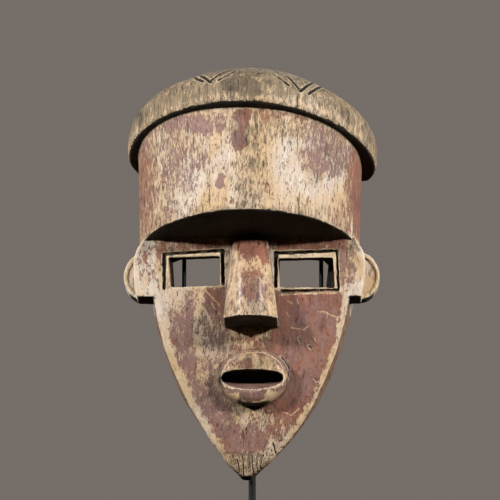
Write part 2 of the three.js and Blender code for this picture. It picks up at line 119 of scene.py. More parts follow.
def to_mask(points):
    """Places in metres as millimetres in the mask's own frame."""
    x, y, z = points.T / MM
    return leant(x, y - MASK_SETBACK, z - CHIN_HEIGHT)


def from_mask(places):
    """Places in the mask's own frame as metres in the scene."""
    x, forward, height = places.T
    sine, cosine = math.sin(LEAN), math.cos(LEAN)
    y = MASK_SETBACK - forward * cosine + height * sine
    z = CHIN_HEIGHT + forward * sine + height * cosine
    return np.column_stack((x, y, z)) * MM


def outward(turn, rise):
    """The direction away from the object at a turn from its front and a rise, in radians."""
    return Vector((math.cos(rise) * math.sin(turn), -math.cos(rise) * math.cos(turn), math.sin(rise)))


def view_axes():
    """The camera's place and its right, up and forward directions."""
    away = outward(VIEW_TURN, VIEW_RISE)
    right = Vector((math.cos(VIEW_TURN), math.sin(VIEW_TURN), 0))
    forward = -away
    return VIEW_CENTRE + away * VIEW_DISTANCE, right, right.cross(forward), forward


def seen_at(points):
    """Where points in metres are seen on the picture, 500 units wide and high."""
    place, right, up, forward = (np.array(v) for v in view_axes())
    rays = points - place
    depth = rays @ forward
    scale = LENS / SENSOR * PICTURE_SIZE
    across = PICTURE_SIZE * (0.5 - VIEW_SHIFT[0]) + scale * (rays @ right) / depth
    down = PICTURE_SIZE * (0.5 + VIEW_SHIFT[1]) - scale * (rays @ up) / depth
    return across, down


def make_camera():
    data = bpy.data.cameras.new("camera")
    data.lens = LENS
    data.sensor_width = SENSOR
    data.shift_x, data.shift_y = VIEW_SHIFT
    data.clip_end = 20
    camera = bpy.data.objects.new("camera", data)
    bpy.context.collection.objects.link(camera)
    place, right, up, forward = view_axes()
    camera.location = place
    camera.rotation_euler = forward.to_track_quat("-Z", "Y").to_euler()
    bpy.context.scene.camera = camera


# Geometry of the cap, as the solid has it

def cap_rim(turns):
    """Points of the cap's rim by their turn in degrees from the front."""
    sides = np.sign(turns)
    past = np.clip((np.abs(turns) - CAP_SIDE_TURN) / (CAP_BACK_TURN - CAP_SIDE_TURN), 0, 1)
    power = 2 / np.where(sides > 0, CAP_RIGHT_FULLNESS, CAP_LEFT_FULLNESS)
    front_turns = np.radians(np.clip(np.abs(turns), 0, CAP_SIDE_TURN))
    half = CAP_HALF_WIDTH * np.sin(front_turns) ** power
    half = np.where(past > 0, CAP_HALF_WIDTH + (CAP_BACK_HALF_WIDTH - CAP_HALF_WIDTH) * past * past, half)
    ahead = np.cos(front_turns).clip(0) ** power
    forward = CAP_WIDEST_AT * (1 - past) + (CAP_DEPTH - CAP_WIDEST_AT) * ahead
    return sides * half, forward


def cap_points(turns, rises):
    """Points of the cap's skin by their turn from the front and height over the underside."""
    share = np.interp(rises, CAP_RISES, CAP_SHARES)
    rim_x, rim_forward = cap_rim(turns)
    x = CROWN_OFFSET * (1 - share) + rim_x * share
    forward = rim_forward * share
    up = rises * math.cos(CAP_ROLL) - x * math.sin(CAP_ROLL) + CAP_TILT * (forward - CAP_TILT_FROM)
    across = x * math.cos(CAP_ROLL) + rises * math.sin(CAP_ROLL) + CAP_OFFSET
    return np.column_stack((across, forward, CAP_UNDERSIDE_HEIGHT + up))


def face_depth(heights):
    return FACE_DEPTH_AT_CHIN + (FACE_DEPTH_AT_BROW - FACE_DEPTH_AT_CHIN) * heights / BROW_HEIGHT


# Meshes and their arrays

def link(obj):
    bpy.context.collection.objects.link(obj)
    return obj


def evaluated_copy(obj):
    """A new mesh with the object's modifiers applied; the object then holds it and no modifier."""
    graph = bpy.context.evaluated_depsgraph_get()
    mesh = bpy.data.meshes.new_from_object(obj.evaluated_get(graph))
    old = obj.data
    obj.modifiers.clear()
    obj.data = mesh
    bpy.data.meshes.remove(old)


def vertex_rows(mesh, kind):
    """The place, "co", or the outward direction, "normal", of every vertex."""
    flat = np.empty(len(mesh.vertices) * 3)
    mesh.vertices.foreach_get(kind, flat)
    return flat.reshape(-1, 3)


def set_places(mesh, places):
    """Moves the vertices to places given in the mask's own frame."""
    mesh.vertices.foreach_set("co", from_mask(places).ravel())
    mesh.update()


def mesh_edges(mesh):
    flat = np.empty(len(mesh.edges) * 2, dtype=np.int64)
    mesh.edges.foreach_get("vertices", flat)
    return flat.reshape(-1, 2)


def averaged(values, edges, rounds, share=0.6):
    """Values at the vertices, eased toward those of their neighbours."""
    count = len(values)
    near = np.bincount(edges.ravel(), minlength=count).clip(1)
    first, second = edges.T
    columns = values.reshape(count, -1).copy()
    for _ in range(rounds):
        for k in range(columns.shape[1]):
            column = columns[:, k]
            total = np.bincount(first, weights=column[second], minlength=count)
            total += np.bincount(second, weights=column[first], minlength=count)
            columns[:, k] = column + share * (total / near - column)
    return columns.reshape(values.shape)


def distance_to_line(points, start, end):
    """How far points are from a straight line between two places."""
    run = end - start
    along = np.clip((points - start) @ run / (run @ run), 0, 1)
    return np.linalg.norm(points - start - along[:, None] * run, axis=1)


# The mask's own surface

# The first even skin's cell in metres, and how many triangles are kept of it
SKIN_CELL = 0.0006
MOST_TRIANGLES = 192000
# How strongly the hidden sides are thinned out against the fine lines, and the front's share of that
THINNING_BIAS = 12.0
FRONT_THINNING = 0.55
# How far round the hollows the skin counts as theirs, and from what share of the way out as the cap's
HOLLOW_MARGIN = 1.5
CAP_SKIN_FROM = 0.92
# How many times the skin is smoothed, and how far round the bulge of an edge is felt
SMOOTHING = 3
EDGE_REACH = 24
# Chips in the worn edges, the blade's waves outside and its gouges in the hollows
CHIP_DEPTH = 0.9
WAVE_HEIGHT = 0.28
GOUGE_DEPTH = 0.55

# The lines cut round the eyes: their corners by x and height on the face, and the width of each side
LEFT_EYE_FRAME = ((-65, 138), (-65, 163), (-21.2, 165.2), (-20.6, 141))
RIGHT_EYE_FRAME = ((18.6, 139), (18.6, 163.4), (64.6, 165.2), (65.4, 137.2), (23, 136))
LEFT_FRAME_WIDTHS = (2.6, 1.3, 2.4)
RIGHT_FRAME_WIDTHS = (2.4, 1.3, 1.4, 1.5)
FRAME_LINE_DEPTH = 0.7

# The double zigzag on the cap: each stroke's ends by degrees from the front and height on the cap
ZIGZAG = (
    ((-42, 47), (-22, 19)),
    ((-26.5, 31), (-18, 17)),
    ((-18.5, 17.5), (0, 54)),
    ((-14.5, 18), (0, 37)),
    ((4, 39), (20, 17)),
    ((6, 56), (24.5, 16.5)),
    ((25, 14.5), (44, 53)),
    ((29, 14.5), (46, 45)),
)
CAP_SCRATCHES = (((10, 6.5), (13, 13.5)), ((20, 22), (29.5, 46)))
# The strokes lie a little under the cap's skin, toward a place in its middle
STROKE_SINK = 0.6
CAP_HEART = (0, 30, 240)
ZIGZAG_WIDTH = 2.2
ZIGZAG_DEPTH = 1.0
SCRATCH_WIDTH = 1.0
SCRATCH_DEPTH = 0.3

# Cracks and scores as seen from the front: both ends on the picture, width there, and depth
CRACKS = (
    ((209.5, 168), (210, 222), 0.7, 0.3), ((273.5, 443), (276, 453), 1.7, 0.9),
    ((281.5, 357), (285.5, 362), 1.1, 0.5), ((286, 362), (289, 369), 1.2, 0.6),
    ((289, 370), (289, 377), 1.0, 0.5), ((309, 345.5), (311, 348), 1.8, 0.8),
    ((298, 339), (301, 343), 1.2, 0.4), ((313, 377), (317, 381), 1.0, 0.4),
    ((237, 459), (239.5, 473), 1.0, 0.7), ((243, 456), (244.5, 479), 1.1, 0.8),
    ((248, 457), (248.5, 470), 0.9, 0.6), ((252.5, 455), (253, 480), 1.2, 0.8),
    ((257.5, 458), (257, 474), 0.9, 0.6), ((262, 457), (260.5, 471), 1.0, 0.6),
)
# Pale scores through the paint, given in the same way without a depth
SCORES = (
    ((318, 311.5), (326, 312.5), 1.1), ((326, 312.5), (336, 317), 1.2), ((327, 313), (327, 319), 0.8),
    ((291, 328), (301, 328.6), 1.2), ((303, 330), (309, 327), 1.0), ((288, 301), (292, 304), 1.0),
    ((297, 300), (298, 304), 0.8), ((286, 312), (289, 317), 0.8), ((313, 336), (316, 341), 0.9),
    ((205, 289), (219, 305), 1.5), ((196, 299), (206, 290), 1.3), ((211, 302), (216, 311), 1.0),
    ((283, 412), (291, 415), 1.0), ((291, 415), (299, 409), 1.0), ((281, 420), (283, 425), 1.4),
)
# The groove round the upper half of the muzzle: its middle and half sizes on the picture, and its turns
MUZZLE_RING_MIDDLE = (254.2, 377.5)
MUZZLE_RING_HALF = (31.6, 25.6)
MUZZLE_RING_TURNS = (-175, -5)
MUZZLE_RING_WIDTH = 1.2
MUZZLE_RING_DEPTH = 0.5


def mask_skin():
    """An even, finely divided copy of the solid mask."""
    skin = link(bpy.data.objects.new("mask_carving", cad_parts["mask"].data.copy()))
    remesh = skin.modifiers.new("even_skin", "REMESH")
    remesh.mode = "VOXEL"
    remesh.voxel_size = SKIN_CELL
    evaluated_copy(skin)
    return skin


def over_cap_rim(places):
    """How high each place is over the cap's underside."""
    x, forward, height = places.T
    return height - CAP_UNDERSIDE_HEIGHT + x * math.sin(CAP_ROLL) - CAP_TILT * (forward - CAP_TILT_FROM)


def within_hollows(places):
    """1 on the walls of the hollows behind the face and in the head, 0 outside."""
    x, forward, height = places.T
    floor, roof = HEAD_HOLLOW_HEIGHTS
    half = np.interp(height, FACE_HOLLOW_HEIGHTS, FACE_HOLLOW_HALVES)
    behind_face = np.abs(x - FACE_HOLLOW_OFFSET) < half + HOLLOW_MARGIN
    behind_face &= forward < face_depth(height) - WALL_THICKNESS + HOLLOW_MARGIN
    behind_face &= (height > FACE_HOLLOW_HEIGHTS[0] - 2) & (height < floor + 0.5)
    spread = np.hypot((x - DRUM_OFFSET) / (HEAD_HOLLOW_HALF_WIDTH + 2), forward / (HEAD_HOLLOW_DEPTH + 2))
    in_head = (spread < 1) & (height > floor - HOLLOW_MARGIN) & (height < roof + 1)
    share = np.interp(over_cap_rim(places), CAP_RISES, CAP_SHARES)
    to_skin = np.hypot((x - CROWN_OFFSET * (1 - share)) / CAP_HALF_WIDTH, forward / CAP_DEPTH) / share
    return (behind_face | (in_head & (to_skin < CAP_SKIN_FROM))).astype(float)


def cut_line(push, close, places, line, width, depth):
    """Deepens push along a line of places as a blade cuts it, and notes how close each place is to it."""
    for start, end in zip(line[:-1], line[1:]):
        low = np.minimum(start, end) - 1.5 * width
        high = np.maximum(start, end) + 1.5 * width
        near = np.flatnonzero(np.all((places > low) & (places < high), axis=1))
        if len(near):
            away = distance_to_line(places[near], np.array(start), np.array(end)) / (width / 2)
            push[near] = np.maximum(push[near], depth * np.clip(1.15 - away ** 2, 0, 1))
            close[near] = np.maximum(close[near], np.clip(1 - away / 2, 0, 1))


def cap_line(ends, steps=10):
    """A stroke just under the cap's skin between two ends."""
    share = np.linspace(0, 1, steps + 1)
    (turn0, rise0), (turn1, rise1) = ends
    line = cap_points(turn0 + (turn1 - turn0) * share, rise0 + (rise1 - rise0) * share)
    inward = np.array(CAP_HEART) - line
    return line + STROKE_SINK * inward / np.linalg.norm(inward, axis=1)[:, None]


def face_line(corners):
    """A line on the face through corners given by x and height."""
    return np.array([(x, face_depth(height) + 0.5, height) for x, height in corners])


def muzzle_ring(steps=16):
    """The groove round the upper half of the muzzle, on the picture."""
    turns = np.radians(np.linspace(*MUZZLE_RING_TURNS, steps + 1))
    across = MUZZLE_RING_MIDDLE[0] + MUZZLE_RING_HALF[0] * np.cos(turns)
    down = MUZZLE_RING_MIDDLE[1] + MUZZLE_RING_HALF[1] * np.sin(turns)
    return np.column_stack((across, down))


def cut_eye_frames(push, close, places):
    """Cuts the lines round the eyes, however deep the solid's own grooves lie there."""
    places[:, 1] -= np.clip(places[:, 1] - face_depth(places[:, 2]) - 0.5, -3.5, 2.5)
    for corners, widths in ((LEFT_EYE_FRAME, LEFT_FRAME_WIDTHS), (RIGHT_EYE_FRAME, RIGHT_FRAME_WIDTHS)):
        for i, width in enumerate(widths):
            cut_line(push, close, places, face_line(corners[i:i + 2]), width, FRAME_LINE_DEPTH)


def cut_cap(push, close, places):
    """Cuts the zigzag and the scratches on the cap."""
    for strokes, width, depth in ((ZIGZAG, ZIGZAG_WIDTH, ZIGZAG_DEPTH),
                                  (CAP_SCRATCHES, SCRATCH_WIDTH, SCRATCH_DEPTH)):
        for stroke in strokes:
            cut_line(push, close, places, cap_line(stroke), width, depth)


def crack_and_score(seen):
    """Cracks, the muzzle's groove and pale scores, at places as they are seen on the picture."""
    push, close, scored, unused = np.zeros((4, len(seen)))
    for start, end, width, depth in CRACKS:
        cut_line(push, close, seen, (start, end), width, depth)
    cut_line(push, unused, seen, muzzle_ring(), MUZZLE_RING_WIDTH, MUZZLE_RING_DEPTH)
    cut_line(unused, scored, seen, muzzle_ring(), 0.9 * MUZZLE_RING_WIDTH, 0)
    for start, end, width in SCORES:
        cut_line(unused, scored, seen, (start, end), width, 0)
    return push, close, scored


def cut_lines(places, normals):
    """How deep the cuts and cracks go, and how close each place is to one, and to a pale score."""
    shake = [soft_noise(places, 5, seed) + 0.5 * soft_noise(places, 2, seed + 3) for seed in (11, 12, 13)]
    shake = np.column_stack(shake)
    push, close, scored = np.zeros((3, len(places)))
    cut_eye_frames(push, close, places + 0.55 * shake)
    cut_cap(push, close, places + 0.35 * shake)
    ahead = np.flatnonzero((normals[:, 1] > 0.2) & (within_hollows(places) < 0.5))
    seen = np.column_stack(seen_at(from_mask(places[ahead] + 0.5 * shake[ahead])))
    seen_push, seen_close, scored[ahead] = crack_and_score(seen)
    push[ahead] = np.maximum(push[ahead], seen_push)
    close[ahead] = np.maximum(close[ahead], seen_close)
    return push, close, scored


def mask_normals(mesh):
    """The skin's outward directions in the mask's own frame."""
    return leant(*vertex_rows(mesh, "normal").T)


def nose_ridge(places):
    """1 along the nose's back, which is rubbed round, and 0 elsewhere."""
    x, forward, height = places.T
    raised = smooth_step(4, 8, forward - face_depth(height)) * (np.abs(x) < 24)
    return raised * smooth_step(108, 113, height) * smooth_step(176, 172, height)


def tool_marks(places, inside):
    """How far out the blade's waves and the gouges in the hollows leave the skin."""
    lumps = soft_noise(places, (13, 13, 24), 21) + 0.5 * soft_noise(places, (5, 5, 11), 22)
    gouges = np.abs(soft_noise(places, (7, 7, 13), 23)) + 0.3 * soft_noise(places, (3, 3, 5), 24)
    return WAVE_HEIGHT * lumps * (1 - inside) + GOUGE_DEPTH * (gouges - 0.3) * inside


def chips(places, edge):
    """How deep the worn edges are chipped."""
    nicks = smooth_step(0.3, 0.75, soft_noise(places, (2.4, 2.4, 4.5), 25))
    wear = np.clip(soft_noise(places, (7, 7, 9), 26) + 0.2, 0, 1)
    return CHIP_DEPTH * edge * (0.75 * nicks + 0.35 * wear)


def sculpt(skin):
    """Rounds and chips the worn edges, and carves the finer relief. Returns marks for the finish."""
    mesh = skin.data
    edges = mesh_edges(mesh)
    places = averaged(to_mask(vertex_rows(mesh, "co")), edges, SMOOTHING)
    set_places(mesh, places)
    normals = mask_normals(mesh)
    eased = averaged(places, edges, EDGE_REACH)
    bulge = np.einsum("ij,ij->i", places - eased, normals)
    edge = smooth_step(0.1, 0.42, bulge)
    # Concave creases and recesses, which the finish darkens: dirt there, and painted shade
    crease_dirt_and_shade = smooth_step(0.08, 0.4, -bulge)
    places = places + nose_ridge(places)[:, None] * (eased - places)
    inside = within_hollows(places)
    out = tool_marks(places, inside) - chips(places, edge)
    push, close, scored = cut_lines(places, normals)
    set_places(mesh, places + normals * (out - push)[:, None])
    return {"edge": edge, "crease_dirt_and_shade": crease_dirt_and_shade, "line": close, "score": scored, "hidden": inside}


def thin_out(skin, marks):
    """Brings the skin down to its triangle budget, and keeps most of them on the front and at fine lines."""
    fine = (marks["line"] > 0.02) | (marks["score"] > 0.02)
    weights = np.where(fine, 0.0, np.where(marks["hidden"] > 0.5, 1.0, FRONT_THINNING))
    group = skin.vertex_groups.new(name="thinned")
    for weight in np.unique(weights):
        group.add(np.flatnonzero(weights == weight).tolist(), float(weight), "REPLACE")
    triangles = sum(len(face.vertices) - 2 for face in skin.data.polygons)
    thinner = skin.modifiers.new("fewer_triangles", "DECIMATE")
    thinner.ratio = min(1, MOST_TRIANGLES / triangles)
    thinner.vertex_group = "thinned"
    thinner.vertex_group_factor = THINNING_BIAS
    evaluated_copy(skin)
    skin.vertex_groups.clear()


def store(mesh, name, values):
    """Keeps a value for every vertex under a name that the finish reads."""
    layer = mesh.attributes.get(name) or mesh.attributes.new(name, "FLOAT", "POINT")
    layer.data.foreach_set("value", np.ascontiguousarray(values, dtype=np.float32))


def read(mesh, name):
    values = np.empty(len(mesh.vertices), dtype=np.float32)
    mesh.attributes[name].data.foreach_get("value", values)
    return values.astype(float)


# The paint. Each patch is left, top, right and bottom on the picture as seen from the front, how
# softly it ends, and how much of it is covered.
RED_PATCHES = {
    "drum": (
        (124, 116, 158, 252, 14, 0.6), (148, 112, 236, 134, 7, 0.62), (156, 134, 200, 198, 14, 0.5),
        (188, 150, 216, 178, 9, 0.42), (236, 100, 250, 126, 2, 1.1), (238, 122, 247, 136, 1.5, 1),
        (233.5, 133, 247, 144, 1.5, 1.05), (236, 140, 245, 151, 1.5, 0.9), (249, 104, 335, 119, 5, 0.56),
        (300, 112, 350, 150, 9, 0.52), (302, 136, 352, 178, 9, 0.6), (346, 130, 374, 250, 8, 0.72),
        (328, 196, 350, 238, 9, 0.4), (217.5, 175, 223, 186, 1, 0.95), (226, 192, 240, 206, 6, 0.36),
        (150, 200, 196, 236, 10, 0.4), (262, 182, 276, 192, 5, 0.42),
    ),
    "face": (
        (155, 236, 222, 256, 4, 0.62), (157, 240, 166, 264, 3, 0.7), (272, 234, 352, 253, 4, 0.72),
        (204, 284, 228, 314, 3, 0.85), (182, 290, 193, 352, 3, 0.75), (166, 312, 192, 358, 6, 0.72),
        (196, 302, 230, 350, 9, 0.5), (174, 346, 200, 412, 8, 0.66), (200, 350, 236, 384, 8, 0.42),
        (181, 382, 234, 426, 8, 0.68), (202, 400, 226, 420, 5, 0.66), (203, 422, 242, 454, 5, 0.78),
        (224, 426, 268, 452, 5, 0.74), (273, 286, 347, 332, 5, 1.0), (268, 320, 346, 402, 7, 1.0),
        (260, 338, 332, 422, 9, 0.85), (280, 394, 314, 430, 7, 0.72), (338, 243, 354, 286, 4, 0.7),
        (221, 284, 226, 300, 3, 0.7), (216, 254, 226, 292, 3, 0.7), (230, 336, 285, 352, 6, 0.55),
        (262, 416, 302, 442, 7, 0.55),
    ),
    "nose": (
        (224, 216, 280, 253, 5, 1.05), (240, 268, 264, 304, 5, 0.6), (246, 280, 266, 304, 4, 0.66),
        (258, 240, 278, 264, 5, 0.66), (226, 284, 236, 310, 5, 0.4), (262, 278, 274, 304, 5, 0.42),
        (236, 250, 250, 260, 4, 0.5),
    ),
    "muzzle": ((238, 356, 253, 371, 3, 0.72), (218, 374, 290, 392, 2, 0.75), (239, 390, 252, 403, 1.5, 0.85),
               (250, 389, 267, 401, 1.5, 0.8), (226, 356, 240, 364, 4, 0.45)),
    "ears": ((137, 246, 156, 284, 6, 0.42), (345, 246, 357, 292, 4, 0.52)),
    "cap": ((230, 66, 262, 74, 4, 0.25),),
}
PURPLE_PATCHES = {
    "drum": (
        (146, 108, 238, 164, 10, 1.1), (166, 148, 218, 200, 12, 0.9), (294, 118, 350, 178, 10, 0.95),
        (185, 190, 250, 232, 12, 0.4), (216, 172, 224, 188, 2, 1),
    ),
    "face": (
        (164, 292, 228, 414, 16, 0.85), (183, 382, 237, 426, 10, 0.9), (270, 284, 345, 410, 22, 0.48),
        (203, 418, 270, 454, 10, 0.6),
        (338, 243, 352, 286, 6, 0.8), (205, 288, 228, 314, 5, 0.5),
    ),
    "nose": ((228, 268, 240, 302, 5, 0.5), (262, 268, 273, 302, 5, 0.5)),
    "muzzle": ((218, 372, 290, 392, 2, 1), (238, 390, 268, 403, 3, 0.5)),
    "ears": ((137, 262, 150, 292, 6, 0.6), (345, 250, 357, 286, 5, 0.8)),
    "cap": ((136, 128, 146, 140, 5, 0.4),),
}
CREAM_PATCHES = {
    "drum": (
        (166, 164, 218, 218, 14, 0.85), (203, 108, 237, 218, 8, 0.85), (250, 134, 332, 218, 16, 0.9),
        (140, 202, 365, 250, 6, 0.75), (316, 174, 348, 214, 8, 0.95),
    ),
    "face": (
        (150, 282, 186, 324, 8, 0.95), (184, 286, 208, 322, 6, 0.85), (182, 332, 205, 374, 7, 0.85),
        (212, 410, 242, 432, 6, 0.8), (192, 418, 216, 442, 6, 0.75), (256, 430, 278, 458, 6, 0.85),
        (228, 454, 276, 486, 3, 0.74),
    ),
    "nose": ((234, 252, 270, 277, 4, 1.1), (225, 297, 279, 322, 4, 1.0), (267, 260, 278, 320, 3, 1.0),
             (225, 262, 236, 300, 3, 0.9)),
    "muzzle": ((218, 346, 290, 408, 4, 0.85),),
    "ears": ((118, 250, 160, 306, 6, 0.85), (344, 284, 368, 304, 4, 0.95), (350, 246, 382, 306, 6, 0.85)),
    "cap": ((150, 100, 180, 130, 10, 0.6), (255, 84, 375, 170, 16, 0.66), (128, 140, 140, 160, 6, 0.6)),
}
SOOT_PATCHES = {
    "drum": ((236, 130, 262, 156, 8, 0.34), (236, 184, 264, 216, 9, 0.4), (252, 118, 285, 140, 8, 0.3),
             (235, 102, 250, 150, 2, 0.56), (240, 160, 268, 174, 6, 0.4), (180, 206, 330, 222, 4, 0.42)),
    "face": ((205, 336, 234, 354, 6, 0.5), (222, 398, 242, 424, 6, 0.5), (196, 386, 238, 414, 9, 0.36),
             (262, 338, 284, 352, 6, 0.4)),
    "nose": ((240, 276, 262, 302, 8, 0.34), (228, 299, 272, 320, 5, 0.56)),
    "muzzle": ((238, 391, 252, 404, 1.5, 0.74), (251, 390, 267, 402, 1.5, 0.7),
               (222, 350, 284, 368, 5, 0.48)),
    "ears": ((118, 288, 140, 306, 4, 0.3), (128, 256, 140, 262, 3, 0.4)),
    "cap": (
        (222, 78, 258, 99, 4, 1.15), (150, 98, 162, 114, 5, 0.65), (136, 110, 148, 126, 4, 0.7),
        (200, 60, 252, 78, 5, 0.62), (276, 72, 314, 92, 6, 0.5), (336, 102, 352, 120, 6, 0.5),
        (232, 58, 330, 72, 6, 0.6),
    ),
}
BARE_PATCHES = {
    "drum": ((234, 140, 272, 236, 12, 0.3), (246, 110, 302, 150, 10, 0.26)),
    "face": ((230, 453, 272, 484, 3, 0.55), (160, 250, 220, 256, 3, 0.3)),
    "ears": ((118, 250, 133, 306, 5, 0.3), (372, 250, 380, 306, 6, 0.3)),
}
CHALKY_PATCHES = {
    "drum": ((160, 150, 222, 222, 16, 1.3), (203, 112, 236, 222, 10, 1.2), (270, 134, 350, 196, 16, 1.2)),
    "face": ((150, 282, 210, 330, 10, 1.1),),
}
PIGMENTS = {"red": RED_PATCHES, "purple": PURPLE_PATCHES, "cream": CREAM_PATCHES, "soot": SOOT_PATCHES,
            "bare": BARE_PATCHES, "pale": CHALKY_PATCHES}
# Patches rubbed to a gloss, and where the layers of paint have crackled
POLISHED = ((230, 262, 241, 302, 4, 1), (260, 270, 270, 296, 4, 1), (224, 236, 280, 312, 6, 0.6),
            (276, 300, 345, 410, 20, 0.4), (180, 330, 236, 426, 14, 0.4))
CRACKLED = ((150, 282, 240, 426, 14, 1), (224, 336, 284, 356, 6, 0.6), (300, 112, 348, 176, 14, 0.5),
            (196, 410, 290, 456, 10, 0.7), (222, 350, 288, 406, 6, 0.5))
# Cover that each pigment has everywhere on a part of the mask, and how chalky pale its cream is
PARTS = ("drum", "face", "nose", "muzzle", "ears", "cap", "sides")
PLAIN_COVER = {
    "red": (0.15, 0.25, 0.24, 0.12, 0.08, 0, 0.5),
    "purple": (0.12, 0.2, 0.1, 0.2, 0.1, 0.1, 0.1),
    "cream": (0.66, 0.62, 0.6, 0.66, 0.7, 0.5, 0.5),
    "soot": (0.08, 0.08, 0.1, 0.12, 0, 0.3, 0.1),
    "bare": (0.05, 0, 0.1, 0.15, 0, 0.5, 0.2),
    "pale": (0.5, 0.7, 0.25, 0.1, 2.2, 0.6, 0.5),
}

# Where the parts of the mask end for the painter, by x, forward or height
DRUM_FRONT = 60.0
DRUM_SIDE = 76.0
NOSE_SIDE = 22.0
NOSE_FOOT = 103.0
MUZZLE_MIDDLE = (2.2, 71.0)
MUZZLE_REACH = (26.5, 24.0)
EAR_WIDTH = 4.0
EAR_FOOT = 131.0
BACK_RIM = (0.3, 1.5)


def parts_of(places, normals):
    """How much each vertex belongs to each part of the mask, by name."""
    x, forward, height = places.T
    inside = within_hollows(places)
    back = smooth_step(BACK_RIM[1], BACK_RIM[0], forward)
    outside = (1 - inside) * (1 - back)
    cap = (over_cap_rim(places) > -1).astype(float)
    over_brow = height > BROW_HEIGHT - 0.5
    drum = over_brow & (cap < 0.5) & ((forward > DRUM_FRONT) | (np.abs(x) > DRUM_SIDE))
    low = (cap < 0.5) & ~drum
    over_face = forward - face_depth(height)
    nose = low & (np.abs(x) < NOSE_SIDE) & (height > NOSE_FOOT) & (over_face > 2.2)
    muzzle = (np.abs(x - MUZZLE_MIDDLE[0]) < MUZZLE_REACH[0]) & (over_face > 1.6)
    muzzle &= low & (np.abs(height - MUZZLE_MIDDLE[1]) < MUZZLE_REACH[1])
    muzzle |= low & (mouth_spread(places) < 1.12) & (over_face > -11)
    edge_half = np.interp(height, EDGE_HEIGHTS, EDGE_HALVES)
    ears = low & (np.abs(x) > edge_half - EAR_WIDTH) & (height > EAR_FOOT) & ~nose
    rest = low & ~nose & ~muzzle & ~ears
    sides = rest & ((over_face < -3.5) | (normals[:, 1] < 0.45))
    face = rest & ~sides
    named = {"cap": cap, "drum": drum, "nose": nose, "muzzle": muzzle, "ears": ears, "sides": sides,
             "face": face}
    shares = {name: share * outside for name, share in named.items()}
    shares["inside"] = np.clip(inside + back, 0, 1)
    return shares


# The eye openings and the mouth by x and height on the face
LEFT_EYE = (-62.2, 139.5, -23.4, 160.8)
RIGHT_EYE = (20.8, 138.3, 62.1, 159.2)
MOUTH_CENTRE = (1.4, 71.2)
MOUTH_HALF = (24.5, 8.6)
MOUTH_SLANT = 0.24
# The pale borders: how wide each is, and how much cream lies on it
EYE_BORDER = 2.9
EYE_BORDER_COVER = 0.6
CAP_RIM_BAND = 7.0
CAP_RIM_COVER = 0.55
JAW_BANDS = (6.4, 4.6)
CHIN_OFFSET = -3.6
CHIN_OFFSET_BELOW = 36.0
# How much of the other pigments the borders clear away, and the red-brown on the muzzle's upper rim
BORDER_CLEARS = 0.85
MUZZLE_RIM_COVER = 0.62


def frame_gap(places, opening):
    """How far outside an eye opening each place is, negative within it."""
    x, _, height = places.T
    left, low, right, high = opening
    return np.maximum(np.maximum(left - x, x - right), np.maximum(low - height, height - high))


def mouth_spread(places):
    """How far out from the middle of the mouth each place is, 1 at the opening's outline."""
    x, forward, height = places.T
    upward = (height + MOUTH_SLANT * (forward - face_depth(height)) - MOUTH_CENTRE[1]) / MOUTH_HALF[1]
    return np.hypot((x - MOUTH_CENTRE[0]) / MOUTH_HALF[0], upward)


def painted_shade(places, normals, parts):
    """Where shade is painted: 1 on the undersides, on the walls of the eye openings and within the mouth."""
    x, forward, height = places.T
    over_face = forward - face_depth(height)
    steep = 0.45 + 0.4 * parts["muzzle"]
    below = smooth_step(0, 1, (-normals[:, 2] - steep) / (0.35 - 0.23 * parts["muzzle"]))
    below *= 1 - parts["inside"]
    below *= 1 - 0.6 * parts["face"] - 0.4 * parts["sides"]
    walls = np.zeros(len(places))
    for opening in (LEFT_EYE, RIGHT_EYE):
        within = smooth_step(2.2, 1.0, np.abs(frame_gap(places, opening)))
        sill = smooth_step(0.4, 0.8, normals[:, 2])
        deep = smooth_step(-1.2, -3.0, over_face) * (1 - 0.8 * sill * smooth_step(-9, -5, over_face))
        deeper = smooth_step(8, 6, np.abs(frame_gap(places, opening))) * smooth_step(-2.5, -4, over_face)
        walls = np.maximum(walls, np.maximum(within, deeper * (1 - parts["ears"])) * deep)
    in_mouth = smooth_step(1.15, 0.95, mouth_spread(places)) * smooth_step(14.5, 12.5, over_face)
    in_mouth *= np.maximum(smooth_step(0.5, 0.1, normals[:, 2]), smooth_step(-4, -6, over_face))
    return np.clip(np.maximum(np.maximum(below, walls), in_mouth * parts["muzzle"]), 0, 1)


def cream_borders(places, parts):
    """1 on the pale bands along the jaw, round the eye openings and along the cap's rim."""
    x, _, height = places.T
    edge_half = np.interp(height, EDGE_HEIGHTS, EDGE_HALVES)
    middle = CHIN_OFFSET * np.clip(1 - height / CHIN_OFFSET_BELOW, 0, 1)
    ragged = 1.6 * soft_noise(places, (4, 4, 9), 41) + 1.8 * soft_noise(places, (1.5, 1.5, 3), 42)
    band = np.where(x < middle, *JAW_BANDS)
    jaw = smooth_step(1.8, -1.8, edge_half - np.abs(x - middle) + ragged - band)
    jaw *= smooth_step(140, 132, height) * smooth_step(16, 24, height)
    eyes = np.zeros(len(places))
    for opening in (LEFT_EYE, RIGHT_EYE):
        gap = frame_gap(places, opening) + 0.5 * ragged
        border = smooth_step(EYE_BORDER + 0.6, EYE_BORDER - 0.6, gap)
        eyes = np.maximum(eyes, EYE_BORDER_COVER * border)
    rim = CAP_RIM_COVER * smooth_step(CAP_RIM_BAND + 3, CAP_RIM_BAND - 3, over_cap_rim(places) + ragged)
    return np.maximum(jaw, eyes) * parts["face"] + rim * parts["cap"]


def muzzle_rim(points):
    """1 on the band outside the groove that runs round the muzzle's upper half."""
    across, down = seen_at(points)
    out = np.hypot((across - MUZZLE_RING_MIDDLE[0]) / MUZZLE_RING_HALF[0],
                   (down - MUZZLE_RING_MIDDLE[1]) / MUZZLE_RING_HALF[1])
    return smooth_step(0.86, 0.95, out) * smooth_step(382, 368, down)


